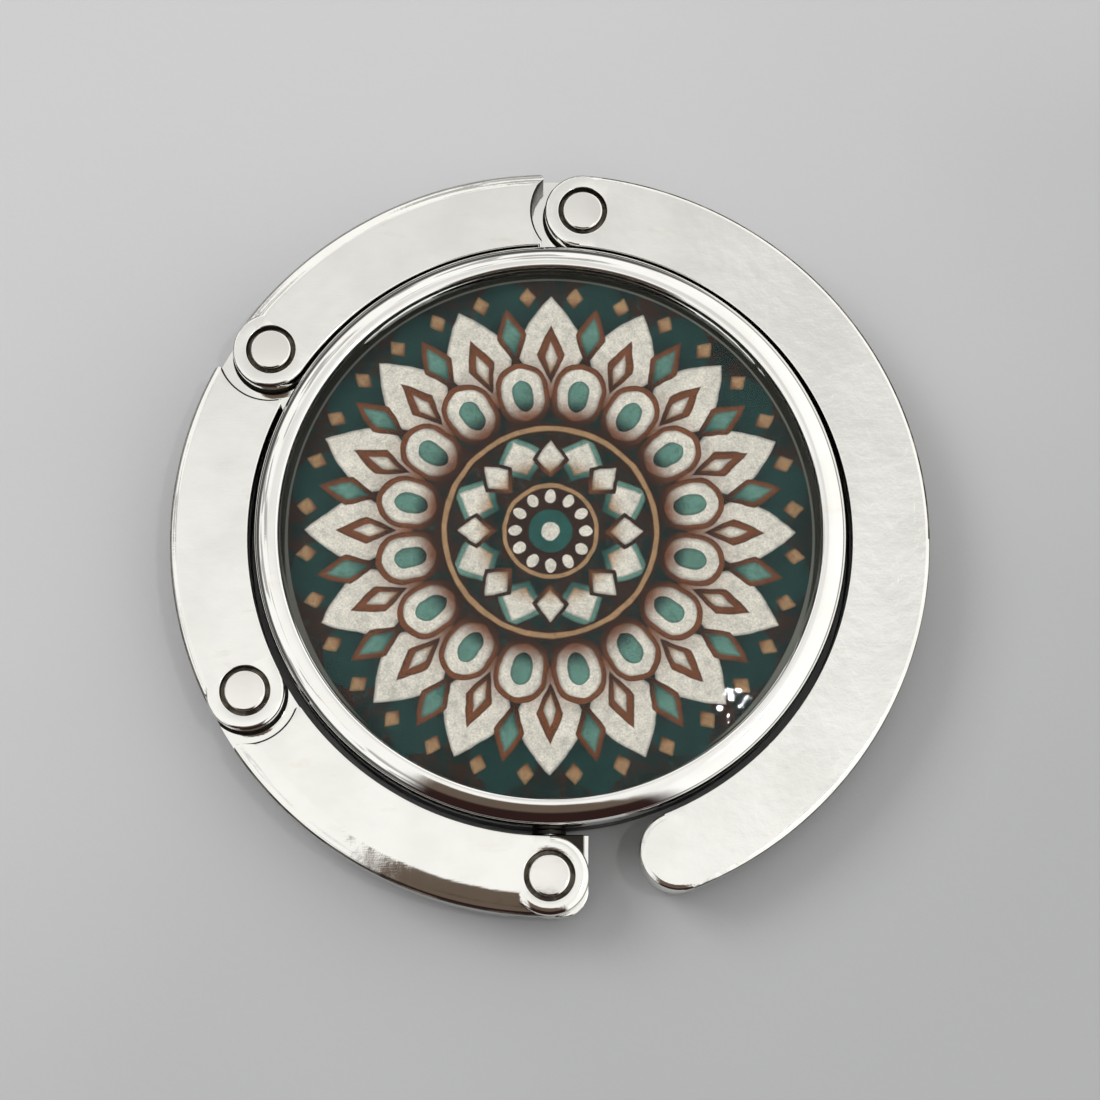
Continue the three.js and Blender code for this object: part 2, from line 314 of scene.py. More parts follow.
# Fine marks of wiping on bright plate: thin streaks three ways, in soft patches.
def buildWipingMarks():
    group, source, target = newGroup("wipingMarks", ["Vector", "Amount", "Peel"], ["Marks", "Height"])
    vector = source["Vector"]
    streaks = None
    for turn, along, across in ((35, 0.5, 9), (-28, 0.7, 12), (80, 0.6, 10)):
        lines = noise(group, mapping(group, vector, turn, (along, across, 1)), 1.0, 2.0)
        fine = ramp(group, lines, 0.5, 0.74)
        streaks = fine if streaks is None else maths(group, "MAXIMUM", streaks, fine)
    patches = ramp(group, noise(group, vector, 0.5, 4.0, 0.6), 0.36, 0.64)
    marks = maths(group, "MULTIPLY", maths(group, "MULTIPLY", streaks, patches), source["Amount"])
    feed(group, marks, target["Marks"])
    waves = maths(group, "MULTIPLY", noise(group, vector, 0.6, 1.0), 0.22)
    swell = maths(group, "ADD", noise(group, vector, 0.16, 1.0), waves)
    ripple = maths(group, "MULTIPLY", noise(group, vector, 1.4, 3.0, 0.55), source["Peel"])
    uneven = maths(group, "ADD", swell, ripple)
    relief = maths(group, "SUBTRACT", uneven, maths(group, "MULTIPLY", marks, 0.04))
    feed(group, relief, target["Height"])
    return group


wipingMarks = buildWipingMarks()


metalDetails = {
    "plate": {
        "material": "nickelPlate",
        "colour": (0.88, 0.87, 0.83, 1),
        "clouded": (0.83, 0.82, 0.78, 1),
        "roughness": (0.07, 0.14),
        "waviness": 0.06,
        "marks": 0.3,
        "peel": (0.1, 0.1),
    },
    "hook": {
        "material": "wipedNickelPlate",
        "colour": (0.88, 0.87, 0.83, 1),
        "clouded": (0.82, 0.81, 0.77, 1),
        "roughness": (0.09, 0.2),
        "waviness": 0.07,
        "marks": 0.4,
        "peel": (0.16, 0.42),
    },
    "disc": {
        "material": "polishedNickelPlate",
        "colour": (0.89, 0.88, 0.85, 1),
        "clouded": (0.85, 0.84, 0.8, 1),
        "roughness": (0.06, 0.12),
        "waviness": 0.03,
        "marks": 0.15,
        "peel": (0.02, 0.02),
    },
    "rivet": {
        "material": "rivetPlate",
        "colour": (0.85, 0.83, 0.79, 1),
        "clouded": (0.8, 0.78, 0.74, 1),
        "roughness": (0.1, 0.2),
        "waviness": 0.04,
        "marks": 0.6,
        "peel": (0.1, 0.1),
    },
    "pin": {
        "material": "turnedSteel",
        "colour": (0.62, 0.62, 0.61, 1),
        "clouded": (0.55, 0.55, 0.54, 1),
        "roughness": (0.28, 0.4),
        "waviness": 0.02,
        "marks": 1.0,
        "peel": (0.1, 0.1),
    },
}


def bareMetal(details):
    # Plated or turned metal: clouded tone, a few smudges, wiping marks and a softly uneven surface.
    material, tree, shader = newMaterial(details["material"])
    vector = inMillimetres(tree)
    peelHere = ramp(tree, splitVector(tree, vector)[0], 5.0, 14.0, *details["peel"])
    values = {"Vector": vector, "Amount": details["marks"], "Peel": peelHere}
    wiping = placeGroup(tree, wipingMarks, values)
    clouds = ramp(tree, noise(tree, vector, 0.3, 3.0), 0.35, 0.7)
    clouded = mixColour(tree, clouds, details["colour"], details["clouded"])
    smears = noise(tree, mapping(tree, vector, 60, (0.35, 0.9, 1)), 1.0, 4.0, 0.6)
    dull = [share * dimming for share, dimming in zip(details["colour"], (0.86, 0.81, 0.72, 1))]
    smudged = mixColour(tree, ramp(tree, smears, 0.6, 0.78, 0.0, 0.4), clouded, dull)
    feed(tree, smudged, shader["Base Color"])
    feed(tree, ramp(tree, wiping["Marks"], 0.0, 1.0, *details["roughness"]), shader["Roughness"])
    feed(tree, bump(tree, wiping["Height"], details["waviness"]), shader["Normal"])
    shader["Metallic"].default_value = 1.0
    return material


metals = {label: bareMetal(details) for label, details in metalDetails.items()}

# Painted shade for gaps, recesses and creases: dark plate colours that stand in for the shade that falls
# there.
shadePaintDetails = {
    "shadePaint": {
        "material": "shadePaintedPlate",
        "darker": (0.018, 0.015, 0.012, 1),
        "lighter": (0.042, 0.036, 0.03, 1),
        "metallic": 0.7,
    },
    "lightShadePaint": {
        "material": "lightShadePaintedPlate",
        "darker": (0.05, 0.042, 0.032, 1),
        "lighter": (0.3, 0.262, 0.205, 1),
        "metallic": 0.9,
    },
}


def shadePaintedMetal(details):
    # Painted shade: plate in narrow gaps, recesses and creases, made dull, brownish and dark in its colour
    # to stand in for the shade there.
    material, tree, shader = newMaterial(details["material"])
    shadeMottle = noise(tree, inMillimetres(tree), 0.9, 5.0, 0.6)
    colour = mixColour(tree, ramp(tree, shadeMottle, 0.4, 0.66), details["darker"], details["lighter"])
    feed(tree, colour, shader["Base Color"])
    feed(tree, ramp(tree, shadeMottle, 0.3, 0.7, 0.35, 0.55), shader["Roughness"])
    feed(tree, bump(tree, shadeMottle, 0.03), shader["Normal"])
    shader["Metallic"].default_value = details["metallic"]
    return material


metals.update({label: shadePaintedMetal(details) for label, details in shadePaintDetails.items()})


def wallAt(radius):
    return radius - 2 * slack, radius + 2 * slack


def shadePaint(piece, place, ring, heights, metal="shadePaint", wallsOnly=False, angles=(0, fullTurn)):
    # Faces wholly between two radii about a place, two heights and two angles get another metal, by
    # default the dark painted shade.
    if piece.data.materials.find(metals[metal].name) < 0:
        piece.data.materials.append(metals[metal])
    slot = piece.data.materials.find(metals[metal].name)
    for face in piece.data.polygons:
        corners = [piece.data.vertices[index].co / millimetre for index in face.vertices]
        near = all(ring[0] <= (corner.xy - place.xy).length <= ring[1] for corner in corners)
        level = all(heights[0] <= corner.z <= heights[1] for corner in corners)
        aside = face.center.xy / millimetre - place.xy
        turn = math.degrees(math.atan2(aside.y, aside.x)) % fullTurn
        upright = abs(face.normal.z) < 0.5 or not wallsOnly
        if near and level and upright and angles[0] <= turn <= angles[1]:
            face.material_index = slot


print("Metals made")


# Disc

discDetails = {
    "rimWidth": 1.55,
    "lipWidth": 0.25,
    "lipDrop": 0.12,
    "crownDrop": 0.75,
    "wallTaper": 0.05,
    "gloomBelow": 3.3,
    "footRounding": 0.35,
    "padGap": 0.1,
    "pocketSetback": 0.2,
    "pocketGap": 0.45,
    "pocketLength": 1.6,
    "pocketCover": 0.1,
    "steps": 240,
}

discLow, discHigh = boxOf("disc_body")
discRadius = discHigh.x
recessFloor = boxOf("print_disc")[0].z
padRadius = boxOf("rubber_pad")[1].x
tapeTop = boxOf("pad_tape")[1].z
pinHead = boxOf("swivel_pin")[1].x
swivelHeight = hinges["swivel"].z
swivelBore = 0.5


def buildDisc(details):
    recessRadius = discRadius - details["rimWidth"]
    crownRadius = discRadius - details["wallTaper"]  # room for the arm as it turns on the swivel
    crownWidth = crownRadius - recessRadius - details["lipWidth"]
    padSeat = padRadius + details["padGap"]
    profile = [(0, tapeTop), (padSeat, tapeTop), (padSeat, discLow.z)]
    profile += corner("outerFoot", discRadius, discLow.z, details["footRounding"])
    profile += [(discRadius, details["gloomBelow"])]
    profile += corner("outerTop", crownRadius, discHigh.z, crownWidth, details["crownDrop"], 20)
    profile += corner("innerTop", recessRadius, discHigh.z, details["lipWidth"], details["lipDrop"])[1:]
    profile += [(recessRadius, recessFloor), (0, recessFloor)]
    disc = turned("discCasting", profile, details["steps"])
    side = pinHead + details["pocketGap"]
    near = -padRadius + details["pocketSetback"]
    far = near + details["pocketLength"]
    pocketTop = swivelHeight + pinHead + details["pocketCover"]
    outline = [(-side, near), (side, near), (side, far), (-side, far)]
    pocket = raised("pocket", outline, discLow.z - beyond, pocketTop)
    boreEnd = -near - details["pocketLength"] / 2
    bore = alongY("bore", swivelBore, boreEnd, discRadius + beyond, swivelHeight)
    cut(disc, pocket, bore)
    finish(disc, "disc_body", "disc", metals["disc"])
    centre = Vector((0, 0))
    lipFoot = discHigh.z - details["lipDrop"]
    # Painted shade on the recess's wall under the lip, and on the disc's side wall below gloomBelow, in
    # the dark gap round the disc.
    shadePaint(disc, centre, wallAt(recessRadius), (recessFloor - slack, lipFoot + slack))
    shadePaint(disc, centre, wallAt(discRadius), (1, details["gloomBelow"] + slack))


buildDisc(discDetails)
print("Disc made")


# Glass

glassDetails = {
    "index": 1.17,
    "sideHeight": 1.2,
    "edgeRounding": 0.5,
    "footRounding": 0.08,
    "steps": 240,
    "domeSteps": 40,
}


def makeGlassMaterial(details):
    material, tree, shader = newMaterial("clearGlass")
    vector = inMillimetres(tree)
    shader["Base Color"].default_value = (0.97, 0.99, 0.98, 1)
    shader["Transmission Weight"].default_value = 1.0
    shader["IOR"].default_value = details["index"]
    shader["Roughness"].default_value = 0.0
    feed(tree, bump(tree, noise(tree, vector, 0.12, 1.0), 0.01), shader["Normal"])
    return material


def buildGlass(details):
    low, high = boxOf("glass_lens")
    rounding = details["edgeRounding"]
    domeFoot = low.z + details["sideHeight"] + rounding
    domeEdge = high.x - rounding
    rise = high.z - domeFoot
    domeRadius = (domeEdge**2 + rise**2) / (2 * rise)
    domeCentre = high.z - domeRadius
    profile = [(0, low.z), *corner("outerFoot", high.x, low.z, details["footRounding"], steps=3)]
    profile += corner("outerTop", high.x, domeFoot, rounding, steps=8)
    for step in range(1, details["domeSteps"] + 1):
        reach = domeEdge * (1 - step / details["domeSteps"])
        profile.append((reach, domeCentre + math.sqrt(domeRadius**2 - reach**2)))
    glass = turned("glassDome", profile, details["steps"])
    return finish(glass, "glass_lens", "disc", makeGlassMaterial(details))


buildGlass(glassDetails)
print("Glass made")


# Printed card: a kaleidoscope of lozenges, arches, bands and beads

printColours = {
    "cream": (0.8, 0.74, 0.66, 1),
    "sand": (0.42, 0.25, 0.13, 1),
    "rust": (0.19, 0.065, 0.028, 1),
    "umber": (0.035, 0.014, 0.009, 1),
    "deepTeal": (0.01, 0.045, 0.042, 1),
    "teal": (0.02, 0.1, 0.088, 1),
    "paleTeal": (0.13, 0.27, 0.225, 1),
    "pine": (0.006, 0.022, 0.02, 1),
}

# Each row: how many, turned by, middle, reach, half width, power, roundness, lean, foot, tip
printRows = [
    (16, 0.5, 13.9, 1.7, 2.1, 2, 0.5, 0.0, "pine", "deepTeal"),
    (32, 0.5, 14.5, 0.7, 0.55, 1.2, 1, 0.0, "rust", "sand"),
    (16, 0.0, 11.3, 3.3, 2.15, 1.3, 1, 0.12, "rust", "cream"),
    (16, 0.0, 10.9, 1.9, 0.85, 1.15, 1, 0.0, "umber", "rust"),
    (16, 0.0, 10.7, 1.1, 0.42, 1.15, 1, 0.0, "sand", "cream"),
    (16, 0.5, 12.2, 1.9, 0.95, 1.2, 1, 0.1, "umber", "rust"),
    (16, 0.5, 12.2, 1.35, 0.62, 1.2, 1, 0.1, "teal", "paleTeal"),
    (16, 0.5, 8.5, 2.0, 1.6, 3, 0.6, 0.1, "umber", "rust"),
    (16, 0.5, 8.5, 1.65, 1.3, 3, 0.6, 0.1, "rust", "cream"),
    (16, 0.5, 8.4, 1.0, 0.66, 3, 0.6, 0.1, "pine", "paleTeal"),
    (8, 0.5, 4.75, 1.55, 1.65, 1.1, 1, 0.0, "teal", "paleTeal"),
    (8, 0.5, 4.75, 1.15, 1.2, 1.1, 1, 0.0, "sand", "cream"),
    (8, 0.0, 4.5, 1.35, 1.15, 1.1, 1, 0.0, "rust", "umber"),
    (8, 0.0, 4.5, 1.05, 0.85, 1.1, 1, 0.0, "sand", "cream"),
    (12, 0.0, 2.1, 0.42, 0.36, 2, 0.5, 0.0, "cream", "cream"),
]

# Each band: inner and outer radius, and colour
printBands = [
    (5.95, 6.6, "umber"),
    (6.12, 6.42, "sand"),
    (0.0, 2.9, "umber"),
    (2.62, 2.86, "sand"),
    (0.0, 1.3, "teal"),
    (0.0, 0.55, "cream"),
]

rowLabels = ["Count", "Shift", "Middle", "Reach", "Width", "Power", "Roundness", "Lean"]
printDetails = {"wander": 0.22, "border": 15.66, "paintedGlintWidth": 0.09}


def buildRosetteRow():
    # One ring of like shapes: how many, turned by how much, and how large, in millimetres.
    group, source, target = newGroup("rosetteRow", ["Vector", *rowLabels], ["Mask", "Along", "Edge"])
    x, y, height = splitVector(group, source["Vector"])
    squares = [maths(group, "MULTIPLY", side, side) for side in (x, y)]
    radius = maths(group, "SQRT", maths(group, "ADD", *squares))
    turns = maths(group, "DIVIDE", maths(group, "ARCTAN2", y, x), 2 * math.pi)
    place = maths(group, "ADD", maths(group, "MULTIPLY", turns, source["Count"]), source["Shift"])
    offset = maths(group, "SUBTRACT", place, maths(group, "ROUND", place))
    arc = maths(group, "DIVIDE", maths(group, "MULTIPLY", radius, 2 * math.pi), source["Count"])
    across = maths(group, "ABSOLUTE", maths(group, "MULTIPLY", offset, arc))
    along = maths(group, "DIVIDE", maths(group, "SUBTRACT", radius, source["Middle"]), source["Reach"])
    used = maths(group, "POWER", maths(group, "ABSOLUTE", along), source["Power"])
    inside = maths(group, "MAXIMUM", maths(group, "SUBTRACT", 1.0, used), 0.0)
    swell = maths(group, "POWER", inside, source["Roundness"])
    leaning = maths(group, "ADD", maths(group, "MULTIPLY", along, source["Lean"]), 1.0)
    width = maths(group, "MULTIPLY", maths(group, "MULTIPLY", swell, leaning), source["Width"])
    depth = maths(group, "SUBTRACT", width, across)
    feed(group, ramp(group, depth, 0.0, 0.09), target["Mask"])
    feed(group, maths(group, "MULTIPLY_ADD", along, 0.5, 0.5, clamp=True), target["Along"])
    feed(group, ramp(group, depth, 0.03, 0.3, 1.0, 0.0), target["Edge"])
    return group


def makePrintMaterial(details):
    material, tree, shader = newMaterial("printedCard")
    vector = inMillimetres(tree)
    wander = tree.nodes.new("ShaderNodeVectorMath")
    wander.operation = "MULTIPLY_ADD"
    drift = tree.nodes.new("ShaderNodeTexNoise")
    drift.inputs["Scale"].default_value = 0.9
    feed(tree, vector, drift.inputs["Vector"])
    feed(tree, drift.outputs["Color"], wander.inputs[0])
    wander.inputs[1].default_value = (details["wander"], details["wander"], 0)
    feed(tree, vector, wander.inputs[2])
    half = -details["wander"] / 2
    drawn = mapping(tree, wander.outputs[0], stretch=(1, 1, 0), shift=(half, half, 0))
    radius = lengthOf(tree, drawn)
    rosetteRow = buildRosetteRow()
    mottle = noise(tree, vector, 0.8, 6.0, 0.7)
    fine = noise(tree, vector, 2.6, 4.0, 0.65)
    colour = mixColour(tree, ramp(tree, mottle, 0.4, 0.62), printColours["pine"], printColours["umber"])
    colour = mixColour(tree, ramp(tree, fine, 0.55, 0.75, 0.0, 0.6), colour, printColours["teal"])
    for *numbers, foot, tip in printRows:
        row = placeGroup(tree, rosetteRow, {"Vector": drawn, **dict(zip(rowLabels, numbers))})
        shade = mixColour(tree, ramp(tree, row["Along"], 0.0, 0.55), printColours[foot], printColours[tip])
        edged = mixColour(tree, maths(tree, "MULTIPLY", row["Edge"], 0.5), shade, printColours["umber"])
        colour = mixColour(tree, row["Mask"], colour, edged)
    for near, far, name in printBands:
        beyondNear = ramp(tree, radius, near - 0.05, near + 0.05) if near else 1.0
        band = maths(tree, "MULTIPLY", beyondNear, ramp(tree, radius, far - 0.05, far + 0.05, 1.0, 0.0))
        colour = mixColour(tree, band, colour, printColours[name])
    beads = placeGroup(tree, rosetteRow, {"Vector": drawn, **dict(zip(rowLabels, printRows[-1]))})
    colour = mixColour(tree, beads["Mask"], colour, printColours["cream"])
    worn = ramp(tree, fine, 0.3, 0.6, 0.8, 1.04)
    grain = ramp(tree, noise(tree, vector, 8.0, 3.0, 0.7), 0.3, 0.7, 0.82, 1.15)
    cloud = ramp(tree, mottle, 0.3, 0.7, 0.86, 1.08)
    toned = maths(tree, "MULTIPLY", maths(tree, "MULTIPLY", grain, cloud), worn)
    tone = tree.nodes.new("ShaderNodeCombineColor")
    for socket in tone.inputs:
        feed(tree, toned, socket)
    colour = mixColour(tree, 1.0, colour, tone.outputs[0], "MULTIPLY")
    rim, border = lengthOf(tree, mapping(tree, vector, stretch=(1, 1, 0))), details["border"]
    colour = mixColour(tree, ramp(tree, rim, border - 0.05, border + 0.03), colour, (0.02, 0.02, 0.014, 1))
    # A painted highlight: a pale line just inside the dark border stands in for the light turned by the
    # glass's rounded edge.
    glintFrom, glintTo = border - details["paintedGlintWidth"], border
    rising = ramp(tree, rim, glintFrom - 0.04, glintFrom)
    paintedGlint = maths(tree, "MULTIPLY", rising, ramp(tree, rim, glintTo, glintTo + 0.04, 0.75, 0.0))
    colour = mixColour(tree, paintedGlint, colour, (0.22, 0.22, 0.19, 1))
    feed(tree, colour, shader["Base Color"])
    shader["Roughness"].default_value = 0.6
    shader["Specular IOR Level"].default_value = 0.15
    feed(tree, bump(tree, grain, 0.01), shader["Normal"])
    return material


frame["nodes"]["print_disc"].material_slots[0].material = makePrintMaterial(printDetails)
print("Card printed")


# Rubber pad and the film that holds it

padDetails = {"footRounding": 0.3, "topRounding": 0.06, "steps": 200}


def makeRubberMaterial():
    material, tree, shader = newMaterial("blackRubber")
    vector = inMillimetres(tree)
    grain = noise(tree, vector, 6.0, 4.0, 0.65)
    dust = ramp(tree, noise(tree, vector, 0.5, 5.0, 0.7), 0.45, 0.75)
    black, dusty = (0.018, 0.018, 0.019, 1), (0.04, 0.039, 0.038, 1)
    feed(tree, mixColour(tree, dust, black, dusty), shader["Base Color"])
    feed(tree, ramp(tree, grain, 0.3, 0.7, 0.62, 0.85), shader["Roughness"])
    feed(tree, bump(tree, grain, 0.03), shader["Normal"])
    return material


def makeFilmMaterial():
    material, tree, shader = newMaterial("adhesiveFilm")
    vector = inMillimetres(tree)
    fibres = noise(tree, mapping(tree, vector, 20, (1, 6, 1)), 2.0, 4.0)
    feed(tree, mixColour(tree, fibres, (0.66, 0.63, 0.52, 1), (0.78, 0.76, 0.66, 1)), shader["Base Color"])
    shader["Roughness"].default_value = 0.7
    feed(tree, bump(tree, fibres, 0.01), shader["Normal"])
    return material


def buildPad(details):
    low, high = boxOf("rubber_pad")
    profile = [(0, low.z), *corner("outerFoot", high.x, low.z, details["footRounding"], steps=8)]
    profile += [*corner("outerTop", high.x, high.z, details["topRounding"], steps=3), (0, high.z)]
    pad = turned("tablePad", profile, details["steps"])
    return finish(pad, "rubber_pad", "disc", makeRubberMaterial())


buildPad(padDetails)
frame["nodes"]["pad_tape"].material_slots[0].material = makeFilmMaterial()
print("Pad made")


# Arm: three like links and the hook, half-lapped and riveted

armDetails = {
    "bevels": [(1.15, 0.2), (0.25, 0.05), (0.6, 0.12)],
    "outerEdge": 0.26,
    "hookBevel": (0.12, 0.02),
    "hookEdge": 0.16,
    "tipBevel": (0.16, 0.03),
    "tipEdge": 0.22,
    "edgeRounding": 0.1,
    "hookInnerEdge": 0.08,
    "eyeRounding": (0.2, 0.16),
    "lastEyeRounding": (0.42, 0.24),
    "eyeFootRounding": 0.04,
    "lapGap": 0.1,
    "shoulderGap": 0.8,
    "shoulderFlare": 0.16,
    "shoulderCorner": 0.3,
    "footFlare": 0.26,
    "tongueInset": 0.04,
    "tongueRounding": (0.06, 0.12),
    "grooveReach": 0.12,
    "grooveDepth": 0.3,
    "tongueReachAngle": 15,
    "hookTipAngle": -68.3,
    "stepAngle": 1.25,
    "hingeSteps": 96,
}

rivetDetails = {
    "shankGap": 0.04,
    "sinkGap": 0.26,
    "sinkDepth": 0.75,
    "sinkRounding": 0.05,
    "headBedding": 0.03,
    "headRounding": 0.14,
    "backHeadDepth": 0.5,
    "backHeadRounding": 0.05,
    "shankRadius": 0.85,
    "steps": 72,
}

armLow, armHigh = boxOf("hook_arm")
armOuter = armHigh.x
armCentre = Vector((0, boxOf("link_1")[0].y + armOuter))
hingeCircle = armCentre.y - hinges["lug_hinge"].y
armInner = 2 * hingeCircle - armOuter
eyeRadius = armOuter - hingeCircle
armMiddle = (armLow.z + armHigh.z) / 2
eyeFoot = armMiddle + armDetails["lapGap"] / 2
tongueTop = armMiddle - armDetails["lapGap"] / 2

rivetLow, rivetHigh = boxOf("rivet_lug")
backHeadRadius = rivetHigh.x
headRadius = 1.22
hingeOrder = ["lug_hinge", "hinge_1_2", "hinge_2_3", "hook_hinge"]
hingePlaces = [hinges[name].xy for name in hingeOrder]


def angleOf(place):
    return math.degrees(math.atan2(place.y - armCentre.y, place.x - armCentre.x)) % fullTurn


def planPlace(angle, radius=hingeCircle):
    turn = math.radians(angle)
    return armCentre + Vector((radius * math.cos(turn), radius * math.sin(turn)))


def ringSector(name, profile, fromAngle, toAngle):
    sweep = toAngle - fromAngle
    steps = round(sweep / armDetails["stepAngle"])
    return turned(name, profile, steps, armCentre, sweep, toAngle)


def outerCorner(quarter, radius, height, edge, bevel, inward=1):
    # A rounded edge that runs out into a long shallow bevel; inward is -1 for a foot.
    bevelWidth, bevelDepth = bevel
    edgeTop = height - inward * bevelDepth
    rounded = corner(quarter, radius, edgeTop, edge, edge, 6)
    slope = []
    for step in range(1, 7):
        share = step / 6
        fall = bevelDepth * (1 - share) ** 2
        slope.append((radius - edge - bevelWidth * share, height - inward * fall))
    return rounded + slope if inward > 0 else slope[::-1] + rounded


def armSector(name, fromAngle, toAngle, edge, bevel, inner):
    profile = outerCorner("outerFoot", armOuter, armLow.z, edge, bevel, -1)
    profile += outerCorner("outerTop", armOuter, armHigh.z, edge, bevel)
    profile += corner("innerTop", armInner, armHigh.z, inner, steps=5)
    profile += [(armInner, armMiddle)]
    profile += corner("innerFoot", armInner, armLow.z, inner, steps=5)
    return ringSector(name, profile, fromAngle, toAngle)


def shoulderCutter(place, details, through):
    # The round clearance at a hinge, flared where it opens through the arm's faces.
    radius = eyeRadius + details["shoulderGap"]
    flare, footFlare = details["shoulderFlare"], details["footFlare"]
    foot = corner("innerFoot", radius, armLow.z, footFlare, steps=8)[::-1]
    profile = [(0, armLow.z - beyond), (radius + footFlare, armLow.z - beyond), *foot]
    if through:
        profile += corner("innerTop", radius, armHigh.z, flare, steps=6)[::-1]
        profile += [(radius + flare, armHigh.z + beyond), (0, armHigh.z + beyond)]
    else:
        profile += [(radius, eyeFoot), (0, eyeFoot)]
    return turned("shoulderCutter", profile, details["hingeSteps"], place)


def crossing(first, firstRadius, second, secondRadius):
    # Where two circles in plan meet, to the left of the way from the first to the second.
    apart = second - first
    along = (apart.length_squared + firstRadius**2 - secondRadius**2) / (2 * apart.length)
    aside = math.sqrt(firstRadius**2 - along**2)
    ahead = apart.normalized()
    return first + ahead * along + Vector((-ahead.y, ahead.x)) * aside


def shoulderCornerCutter(hinge, details, outside):
    # Rounds off, in plan, the corner between the shoulder's hollow and the arm's side.
    hollow, rounding = eyeRadius + details["shoulderGap"], details["shoulderCorner"]
    side = armOuter if outside else armInner
    inwards = -1 if outside else 1
    middle = crossing(armCentre, side + inwards * rounding, hinge, hollow + rounding)
    tip = crossing(armCentre, side, hinge, hollow)
    onSide = middle + (middle - armCentre).normalized() * rounding * -inwards
    onHollow = middle + (hinge - middle).normalized() * rounding
    fromAngle = math.degrees(math.atan2(*(onHollow - middle).yx))
    sweep = (math.degrees(math.atan2(*(onSide - middle).yx)) - fromAngle + 180) % fullTurn - 180
    outline = arcPoints(middle, rounding + 0.004, fromAngle, fromAngle + sweep, 10)
    outline.append(tuple(tip + (tip - middle) * 1.6))
    return raised("shoulderCornerCutter", outline, armLow.z - beyond, armHigh.z + beyond)


def eyeSolid(place, rounding, details):
    rim = corner("outerTop", eyeRadius, armHigh.z, *rounding)
    foot = corner("outerFoot", eyeRadius, eyeFoot, details["eyeFootRounding"], steps=2)
    return turned("eye", [(0, eyeFoot), *foot, *rim, (0, armHigh.z)], details["hingeSteps"], place)


def eyeBore(place, details):
    # The rivet's running bore and the sunk seat of its head.
    bore = details["shankRadius"] + details["shankGap"]
    sink, seat = headRadius + details["sinkGap"], armHigh.z - details["sinkDepth"]
    mouth = corner("innerTop", sink, armHigh.z, details["sinkRounding"], steps=4)[::-1]
    profile = [(0, eyeFoot - beyond), (bore, eyeFoot - beyond), (bore, seat), (sink, seat), *mouth]
    profile += [(sink + details["sinkRounding"], armHigh.z + beyond), (0, armHigh.z + beyond)]
    return turned("eyeBore", profile, details["steps"], place)


def tongueBore(place, details):
    # The rivet's bore and the countersink of its back head.
    bore = details["shankRadius"] + details["shankGap"]
    sink = backHeadRadius + 2 * details["shankGap"]
    sinkTop = armLow.z + details["backHeadDepth"] + details["shankGap"]
    profile = [(0, armLow.z - beyond), (sink, armLow.z - beyond), (sink, armLow.z)]
    profile += [(bore, sinkTop), (bore, tongueTop + beyond), (0, tongueTop + beyond)]
    return turned("tongueBore", profile, details["steps"], place)


def tongueSolids(place, angle, details):
    inset = details["tongueInset"]
    inner, outer = armInner + inset, armOuter - inset
    section = [(inner, armLow.z), (outer, armLow.z), (outer, tongueTop), (inner, tongueTop)]
    neck = ringSector("tongueNeck", section, angle, angle + details["tongueReachAngle"])
    end, (topRounding, footRounding) = eyeRadius - inset, details["tongueRounding"]
    rim = corner("outerTop", end, tongueTop, topRounding, steps=3)
    foot = corner("outerFoot", end, armLow.z, footRounding, steps=4)
    profile = [(0, armLow.z), *foot, *rim, (0, tongueTop)]
    return neck, turned("tongueEnd", profile, details["hingeSteps"], place)


def grooveCutter(place, details):
    # The groove in the tongue, just outside the eye that lies on it.
    near, far = eyeRadius - details["grooveReach"], eyeRadius + details["grooveReach"]
    foot = tongueTop - details["grooveDepth"]
    top, steps = tongueTop + beyond, details["hingeSteps"]
    groove = turned("groove", [(0, foot), (far, foot), (far, top), (0, top)], steps, place)
    coreFoot, coreTop = foot - beyond, top + beyond
    core = turned("core", [(0, coreFoot), (near, coreFoot), (near, coreTop), (0, coreTop)], steps, place)
    return cut(groove, core)


def shadePaintEdge(piece, bevelDepth, edge, share=0.25, angles=(0, fullTurn)):
    # Painted shade on the lower part of the rounding along the arm's outer side: a painted dark reflection
    # of the shaded floor beside the arm.
    edgeTop = armHigh.z - bevelDepth
    heights = (edgeTop - edge - slack, edgeTop - share * edge)
    ring = (armOuter - edge, armOuter + 2 * slack)
    shadePaint(piece, armCentre, ring, heights, "lightShadePaint", angles=angles)


def shadePaintHinge(piece, eyePlace, tonguePlace, details):
    # Painted shade in the rivet's sink, on the floors and walls that stand in the laps and shoulders, in
    # the groove, and on the lower half of the arm's inner wall.
    sink, seat = headRadius + rivetDetails["sinkGap"], armHigh.z - rivetDetails["sinkDepth"]
    sinkTop = armHigh.z - rivetDetails["sinkRounding"]
    shadePaint(piece, eyePlace, (0, sink + 2 * slack), (seat - slack, seat + slack), "lightShadePaint")
    shadePaint(piece, eyePlace, wallAt(sink), (seat - slack, sinkTop + slack))
    shoulder = eyeRadius + details["shoulderGap"]
    shadePaint(piece, eyePlace, (0, shoulder + 0.05), (0, eyeFoot + slack))
    shadePaint(piece, armCentre, wallAt(armInner), (armLow.z + 0.05, armMiddle + slack))
    if tonguePlace:
        wallRing = (shoulder - 0.1, shoulder + 0.125)
        shadePaint(piece, tonguePlace, wallRing, (tongueTop + 0.05, armHigh.z - 0.005))
        shadePaint(piece, tonguePlace, wallRing, (tongueTop - slack, armHigh.z - 0.005), wallsOnly=True)
        grooveEdge = eyeRadius + details["grooveReach"]
        shadePaint(piece, tonguePlace, (0, grooveEdge + 2 * slack), (tongueTop - 0.4, tongueTop + slack))


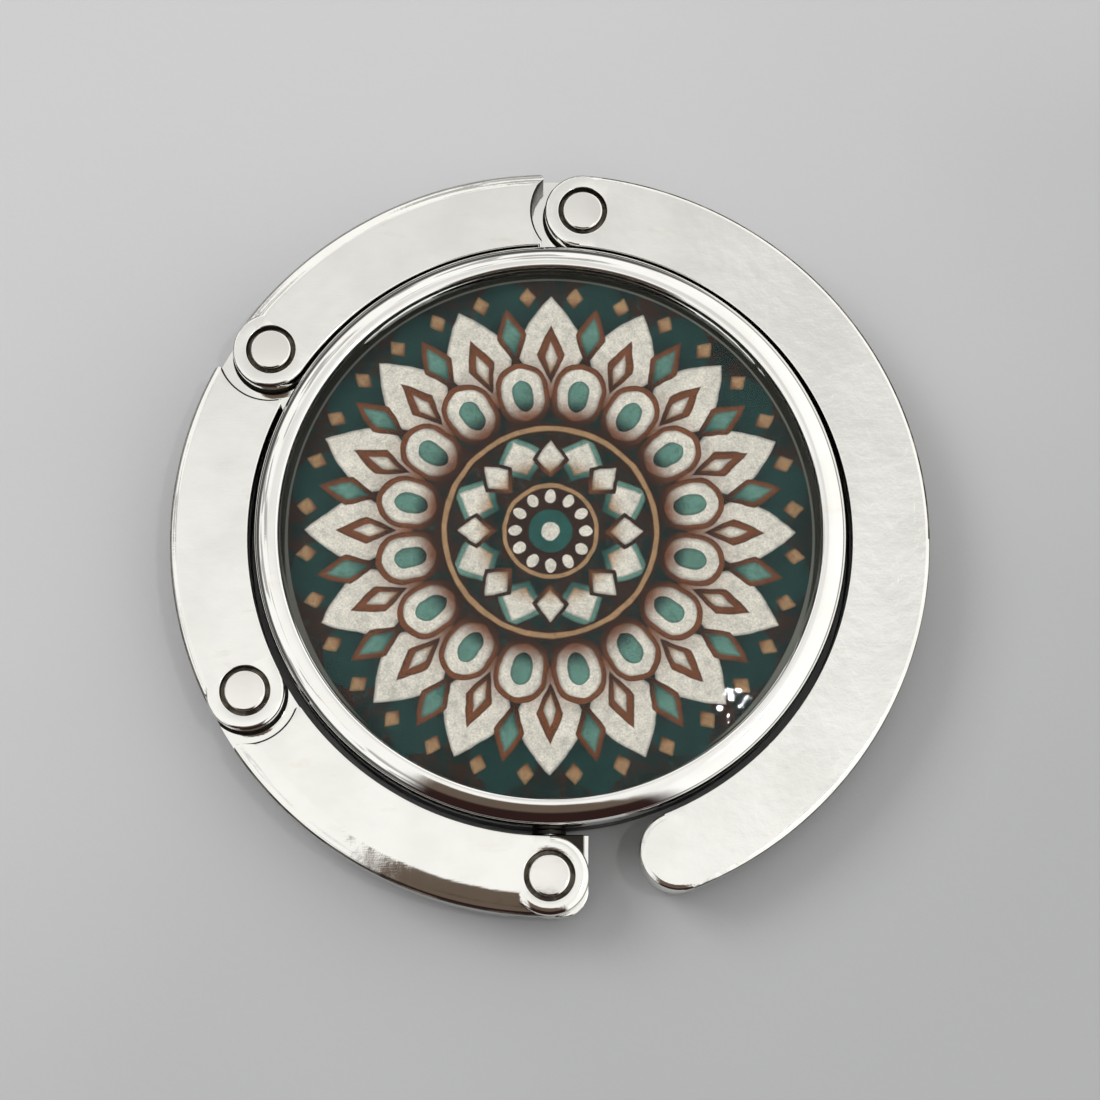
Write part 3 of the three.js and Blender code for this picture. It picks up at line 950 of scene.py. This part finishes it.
def buildLink(index, details):
    eyePlace, tonguePlace = hingePlaces[index : index + 2]
    eyeAngle = angleOf(eyePlace)
    tongueAngle = angleOf(tonguePlace)
    bevel, edge = details["bevels"][index], details["outerEdge"]
    link = armSector("link" + str(index + 1), tongueAngle, eyeAngle, edge, bevel, details["edgeRounding"])
    cut(link, shoulderCutter(eyePlace, details, False), shoulderCutter(tonguePlace, details, True))
    for outside in (True, False):
        cut(link, shoulderCornerCutter(tonguePlace, details, outside))
    rounding = details["eyeRounding" if index else "lastEyeRounding"]
    join(link, eyeSolid(eyePlace, rounding, details), *tongueSolids(tonguePlace, tongueAngle, details))
    cut(link, grooveCutter(tonguePlace, details))
    cut(link, eyeBore(eyePlace, rivetDetails), tongueBore(tonguePlace, rivetDetails))
    node = "link_" + str(index + 1)
    finish(link, node, node, metals["plate"])
    shadePaintHinge(link, eyePlace, tonguePlace, details)
    shadePaintEdge(link, bevel[1], edge)


def buildHook(details):
    eyePlace = hingePlaces[3]
    bevel, edge = details["hookBevel"], details["hookEdge"]
    tipBevel, tipEdge = details["tipBevel"], details["tipEdge"]
    inner = details["hookInnerEdge"]
    hook = armSector("hook", details["hookTipAngle"], angleOf(eyePlace), edge, bevel, inner)
    cut(hook, shoulderCutter(eyePlace, details, False))
    tip = [(0, armLow.z), *outerCorner("outerFoot", eyeRadius, armLow.z, tipEdge, tipBevel, -1)]
    tip += [*outerCorner("outerTop", eyeRadius, armHigh.z, tipEdge, tipBevel), (0, armHigh.z)]
    tipPlace = planPlace(details["hookTipAngle"])
    eye = eyeSolid(eyePlace, details["eyeRounding"], details)
    join(hook, eye, turned("tip", tip, details["hingeSteps"], tipPlace))
    cut(hook, eyeBore(eyePlace, rivetDetails))
    finish(hook, "hook_arm", "hook", metals["hook"])
    shadePaintHinge(hook, eyePlace, None, details)
    shadePaintEdge(hook, bevel[1], edge)
    # A thin line of painted dark reflection along the hook's outer edge, between the right and the top.
    shadePaintEdge(hook, bevel[1], edge, 0.03, (0, 82))


for linkIndex in range(3):
    buildLink(linkIndex, armDetails)
buildHook(armDetails)
print("Arm made")


# Rivets


def buildRivet(node, body, place, details):
    shank = details["shankRadius"]
    seat = armHigh.z - details["sinkDepth"] + details["headBedding"]
    coneTop = armLow.z + details["backHeadDepth"]
    rounding = details["backHeadRounding"]
    profile = [(0, rivetLow.z), *corner("outerFoot", backHeadRadius, rivetLow.z, rounding, steps=3)]
    profile += [(shank, coneTop), (shank, seat), (headRadius, seat)]
    profile += corner("outerTop", headRadius, rivetHigh.z, details["headRounding"], steps=8)
    profile += [(0, rivetHigh.z)]
    rivet = turned(node.replace("_", "") + "Turned", profile, details["steps"], place)
    return finish(rivet, node, body, metals["rivet"])


rivetBodies = {
    "rivet_lug": "lug",
    "rivet_1_2": "link_1",
    "rivet_2_3": "link_2",
    "rivet_hook": "link_3",
}
for (rivetNode, rivetBody), rivetPlace in zip(rivetBodies.items(), hingePlaces):
    buildRivet(rivetNode, rivetBody, rivetPlace, rivetDetails)
print("Rivets made")


# Swivel

lugDetails = {
    "cutSide": 1.05,
    "cornerRadius": 1.6,
    "neckLength": 0.35,
    "edge": 0.07,
    "pinEndGap": 0.05,
    "paintedShadeTowards": (-19.5, -19.1),
    "paintedShadeUpTo": (1.95, 2.1),
}


def makeLugMaterial(details):
    # Bright plate with painted shade towards the neck, where it lies in the shade of the arm and the disc.
    material, tree, shader = newMaterial("lugPlate")
    vector = inMillimetres(tree)
    x, y, height = splitVector(tree, vector)
    wander = ramp(tree, noise(tree, vector, 1.2, 3.0), 0.3, 0.7, -0.15, 0.15)
    towardsNeck = ramp(tree, maths(tree, "ADD", y, wander), *details["paintedShadeTowards"])
    inside = ramp(tree, x, *details["paintedShadeUpTo"], 1.0, 0.0)
    paintedNeckShade = maths(tree, "MULTIPLY", towardsNeck, inside)
    feed(tree, mixColour(tree, paintedNeckShade, (0.86, 0.85, 0.81, 1), (0.03, 0.026, 0.022, 1)), shader["Base Color"])
    feed(tree, ramp(tree, paintedNeckShade, 0.0, 1.0, 0.09, 0.4), shader["Roughness"])
    feed(tree, bump(tree, noise(tree, vector, 1.5, 3.0), 0.01), shader["Normal"])
    shader["Metallic"].default_value = 1.0
    return material


def buildLug(details):
    low, high = boxOf("swivel_lug")
    hinge = hingePlaces[0]
    side, turnRadius = details["cutSide"], details["cornerRadius"]
    turnPlace = (eyeRadius - turnRadius, low.y + turnRadius)
    cutAngle = 180 - math.degrees(math.acos(side / eyeRadius))
    outline = [(eyeRadius, high.y), (-side, high.y), (-side, high.y - details["neckLength"])]
    outline += arcPoints(hinge, eyeRadius, cutAngle, 270)
    outline += arcPoints(turnPlace, turnRadius, 270, 360)[1:]
    lug = raised("lug", outline, low.z, high.z)
    bevel = lug.modifiers.new("Worn edges", "BEVEL")
    bevel.width = details["edge"]
    bevel.segments = 3
    bevel.limit_method = "ANGLE"
    bevel.angle_limit = math.radians(40)
    choose(lug)
    bpy.ops.object.modifier_apply(modifier=bevel.name)
    pinEnd = -boxOf("swivel_pin")[0].y + details["pinEndGap"]
    bore = alongY("bore", swivelBore, -high.y - beyond, pinEnd, swivelHeight)
    cut(lug, bore, tongueBore(hinge, rivetDetails))
    return finish(lug, "swivel_lug", "lug", makeLugMaterial(details))


def buildWasher():
    low, high = boxOf("swivel_washer")
    washer = alongY("washer", high.x, -high.y, -low.y, swivelHeight, 64)
    hole = alongY("hole", swivelBore, -high.y - beyond, -low.y + beyond, swivelHeight, 64)
    cut(washer, hole)
    # The washer takes the dark painted shade, standing in for the shade in the gap between the lug and the
    # disc.
    return finish(washer, "swivel_washer", "disc", metals["shadePaint"])


buildLug(lugDetails)
buildWasher()
frame["nodes"]["swivel_pin"].material_slots[0].material = metals["pin"]
print("Swivel made")


# Camera, at the photograph's viewing angle

cameraDetails = {
    "target": (-0.03, -1.234, 4.0),
    "distance": 152.95,
    "towardsLeft": 3.48,
    "tilt": 12.42,
    "roll": 0.165,
    "fieldOfView": 24,
}


def placeCamera(details):
    tilt, side = math.radians(details["tilt"]), math.radians(details["towardsLeft"])
    back = Vector((-math.sin(side) * math.sin(tilt), -math.cos(side) * math.sin(tilt), math.cos(tilt)))
    place = (Vector(details["target"]) + back * details["distance"]) * millimetre
    bpy.ops.object.camera_add()
    camera = bpy.context.object
    camera.data.sensor_fit = "HORIZONTAL"
    camera.data.angle = math.radians(details["fieldOfView"])
    camera.data.clip_start = 0.01
    right = Vector((0, 1, 0)).cross(back).normalized()
    up = back.cross(right)
    axes = Matrix((right, up, back)).transposed().to_4x4()
    roll = Matrix.Rotation(math.radians(details["roll"]), 4, "Z")
    camera.matrix_world = Matrix.Translation(place) @ axes @ roll
    bpy.context.scene.camera = camera


placeCamera(cameraDetails)


# Floor, light and surroundings

floorDetails = {
    "size": 1.6,
    "pale": (0.532, 0.536, 0.543, 1),
    "shaded": (0.398, 0.402, 0.409, 1),
    "closeReach": 1.4,
    "closeMargin": 0.8,
}


def makeFloorMaterial(details):
    material, tree, shader = newMaterial("paleFloor")
    vector = inMillimetres(tree)
    x, y, height = splitVector(tree, vector)
    # Painted light: the colour goes from pale to shaded across the floor, standing in for the way the
    # light falls off.
    slope = maths(tree, "SUBTRACT", maths(tree, "MULTIPLY", x, 0.6), y)
    clouds = ramp(tree, noise(tree, vector, 0.03, 2.0), 0.3, 0.7, -6.0, 6.0)
    share = ramp(tree, maths(tree, "ADD", slope, clouds), -45.0, 45.0)
    feed(tree, mixColour(tree, share, details["pale"], details["shaded"]), shader["Base Color"])
    shader["Roughness"].default_value = 0.9
    feed(tree, bump(tree, noise(tree, vector, 1.4, 4.0, 0.6), 0.02), shader["Normal"])
    # Seen from below, the floor isn't there, and it lets light through to the undersides close to it.
    back = tree.nodes.new("ShaderNodeNewGeometry").outputs["Backfacing"]
    path = tree.nodes.new("ShaderNodeLightPath").outputs
    reach = maths(tree, "ADD", path["Ray Length"], path["Is Camera Ray"])
    close = maths(tree, "LESS_THAN", reach, details["closeReach"] * millimetre)
    radius, margin = lengthOf(tree, vector), details["closeMargin"]
    underPad = maths(tree, "LESS_THAN", radius, padRadius)
    underDisc = maths(tree, "LESS_THAN", radius, discRadius - margin)
    underArm = maths(tree, "COMPARE", radius, hingeCircle, eyeRadius - margin)
    mirrored = maths(tree, "LESS_THAN", path["Diffuse Depth"], 0.5)
    underMetal = maths(tree, "MULTIPLY", mirrored, maths(tree, "MAXIMUM", underDisc, underArm))
    lit = maths(tree, "MULTIPLY", close, maths(tree, "MAXIMUM", underPad, underMetal))
    feed(tree, maths(tree, "SUBTRACT", 1.0, maths(tree, "MAXIMUM", back, lit)), shader["Alpha"])
    return material


def buildFloor(details):
    clearSelection()
    bpy.ops.mesh.primitive_plane_add(size=details["size"])
    floor = bpy.context.object
    floor.name = "floor"
    floor.data.materials.append(makeFloorMaterial(details))


lampDetails = {"place": (-0.48, 0.26, 0.52), "size": (0.36, 0.36), "power": 2.4}

# Panes of a window to the right, mirrored in the glass: place in metres, side, power
windowPanes = [
    (0.1665, -0.0387, 0.0046, 0.08),
    (0.178, -0.0293, 0.0046, 0.08),
    (0.1852, -0.0225, 0.0046, 0.08),
    (0.174, -0.0235, 0.0075, 0.035),
]
paneHeight, paneShape = 0.58, 1.2


def placeSoftbox(name, place, size, power, mirrored=False):
    clearSelection()
    bpy.ops.object.light_add(type="AREA", location=place)
    lamp = bpy.context.object
    lamp.name = name
    lamp.rotation_euler = Vector(place).to_track_quat("Z", "Y").to_euler()
    lamp.data.shape = "RECTANGLE"
    lamp.data.size, lamp.data.size_y = size
    lamp.data.energy = power
    lamp.visible_glossy = mirrored


surroundingsDetails = {
    "overhead": (1.07, 0.82),
    "overheadRight": 0.93,
    "upper": (1.1, 1.18),
    "barShade": 0.45,
    "wallTop": (0.48, 0.2),
    "wallFade": 0.18,
    "horizon": (0.1, 0.25),
    "below": 0.75,
    "tint": (1.0, 0.998, 0.985),
    "nearShade": (0.135, 0.1, 0.077, 1),
    "nearestShade": (0.03, 0.014, 0.013, 1),
    "backdrop": (0.6, 0.604, 0.612, 1),
}


def makeSurroundings(details):
    # A bright ceiling and windows to the right over dim walls, and a dark shape on the near side.
    world = bpy.data.worlds.new("surroundings")
    world.use_nodes = True
    tree = world.node_tree
    direction = tree.nodes.new("ShaderNodeTexCoord").outputs["Generated"]
    across, away, up = splitVector(tree, direction)
    farther = ramp(tree, away, 0.05, 0.4, *details["overhead"])
    rightwards = ramp(tree, across, 0.0, 0.16, 1.0, details["overheadRight"])
    overhead = maths(tree, "MULTIPLY", farther, rightwards)
    right = ramp(tree, across, 0.1, 0.7)
    high = ramp(tree, right, 0.0, 1.0, *details["upper"])
    patches = noise(tree, mapping(tree, direction, stretch=(3, 3, 1)), 1.6, 2.0)
    bars = ramp(tree, patches, 0.54, 0.58, 1.0, details["barShade"])
    barred = maths(tree, "MAXIMUM", bars, ramp(tree, across, -0.1, 0.3))
    ceiling = maths(tree, "MULTIPLY", ramp(tree, up, 0.8, 0.92), ramp(tree, across, 0.17, 0.3, 1.0, 0.0))
    upper = ramp(tree, ceiling, 0.0, 1.0, maths(tree, "MULTIPLY", high, barred), overhead)
    wallTop = ramp(tree, right, 0.0, 1.0, *details["wallTop"])
    wallFoot = maths(tree, "SUBTRACT", wallTop, details["wallFade"])
    horizon = ramp(tree, right, 0.0, 1.0, *details["horizon"])
    walled = ramp(tree, ramp(tree, up, wallFoot, wallTop), 0.0, 1.0, horizon, upper)
    light = maths(tree, "MAXIMUM", walled, ramp(tree, up, -0.5, -0.2, details["below"], 0.0))
    nearness = maths(tree, "ADD", maths(tree, "MULTIPLY", away, -1.0), 0.12)
    slant = maths(tree, "DIVIDE", maths(tree, "ABSOLUTE", maths(tree, "ADD", across, 0.03)), nearness)
    narrow = ramp(tree, slant, 0.45, 0.65, 1.0, 0.0)
    wedge = maths(tree, "MULTIPLY", narrow, ramp(tree, away, -0.05, 0.02, 1.0, 0.0))
    nearest, near = details["nearestShade"], details["nearShade"]
    shade = mixColour(tree, ramp(tree, away, -0.55, -0.4), nearest, near)
    tone = tree.nodes.new("ShaderNodeCombineColor")
    for socket, share in zip(tone.inputs, details["tint"]):
        feed(tree, maths(tree, "MULTIPLY", light, share), socket)
    surroundings = mixColour(tree, wedge, tone.outputs[0], shade)
    seen = tree.nodes.new("ShaderNodeLightPath").outputs["Is Camera Ray"]
    shown = mixColour(tree, seen, surroundings, details["backdrop"])
    feed(tree, shown, tree.nodes["Background"].inputs["Color"])
    bpy.context.scene.world = world


buildFloor(floorDetails)
placeSoftbox("windowLight", lampDetails["place"], lampDetails["size"], lampDetails["power"])
for paneX, paneY, paneSide, panePower in windowPanes:
    paneSize = (paneSide, paneShape * paneSide)
    placeSoftbox("pane", (paneX, paneY, paneHeight), paneSize, panePower, mirrored=True)
makeSurroundings(surroundingsDetails)
bpy.context.scene.view_settings.view_transform = "Standard"
print("Stage set")
